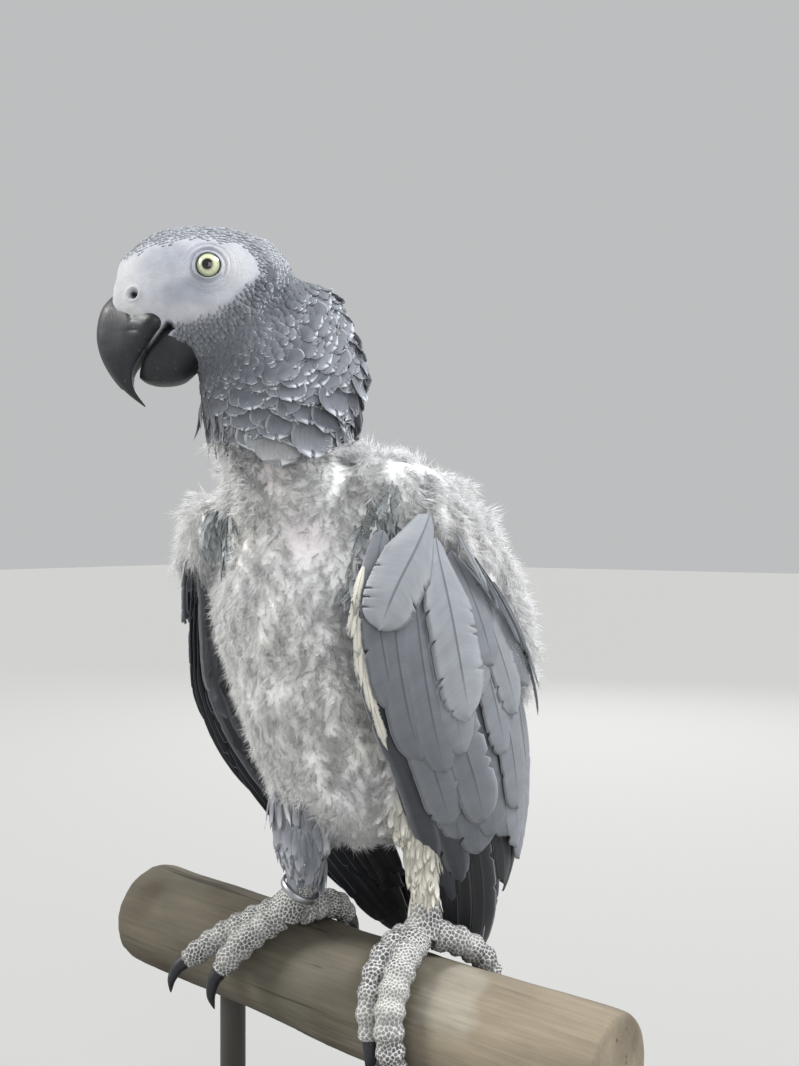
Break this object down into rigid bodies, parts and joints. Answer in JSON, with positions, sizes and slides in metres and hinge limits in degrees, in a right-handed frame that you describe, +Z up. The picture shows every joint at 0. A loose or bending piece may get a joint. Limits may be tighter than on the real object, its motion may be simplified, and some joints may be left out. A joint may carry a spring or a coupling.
{
  "type": "grey parrot",
  "caption": "Life-size grey parrot standing on a cut branch with its head turned aside and its wings held a little open, on a plain flat stand with rods.",
  "frame": {"origin": "middle of the underside of the stand's base", "axes": "+Z up, the trunk faces -Y, the bird's left is +X, and the branch lies along X"},
  "size_m": [0.1932, 0.1372, 0.3295],
  "materials": {
    "down": "soft white down",
    "face": "bare, finely wrinkled white skin and small grey feathers",
    "grey_feathers": "grey feathers with pale edges",
    "dark_feathers": "dark slate flight feathers",
    "red_feathers": "red tail feathers",
    "horn": "black horn with a dusty, lightly scratched surface",
    "eye": "wet pale yellow iris with a black pupil",
    "scales": "grey scales with pale edges",
    "ring_metal": "worn plain metal",
    "branch_wood": "weathered bare wood, grey brown",
    "stand": "satin dark grey paint"
  },
  "bodies": {
    "root": {"bill_upper": "horn", "bill_lower": "horn", "eye_left": "eye", "eye_right": "eye", "head": "face", "neck": "grey_feathers", "trunk": "down", "wing_left_arm": "down", "wing_left_coverts": "grey_feathers", "wing_left_secondaries": "grey_feathers", "wing_left_primaries": "dark_feathers", "wing_right_arm": "down", "wing_right_coverts": "grey_feathers", "wing_right_secondaries": "grey_feathers", "wing_right_primaries": "dark_feathers", "tail": "red_feathers", "thigh_left": "down", "thigh_right": "down", "foot_left": "scales", "foot_right": "scales", "claw_left_1": "horn", "claw_left_2": "horn", "claw_left_3": "horn", "claw_left_4": "horn", "claw_right_1": "horn", "claw_right_2": "horn", "claw_right_3": "horn", "claw_right_4": "horn", "leg_ring": "ring_metal", "perch": "branch_wood", "stand_rod_a": "stand", "stand_rod_b": "stand", "stand_base": "stand"}
  },
  "joints": []
}
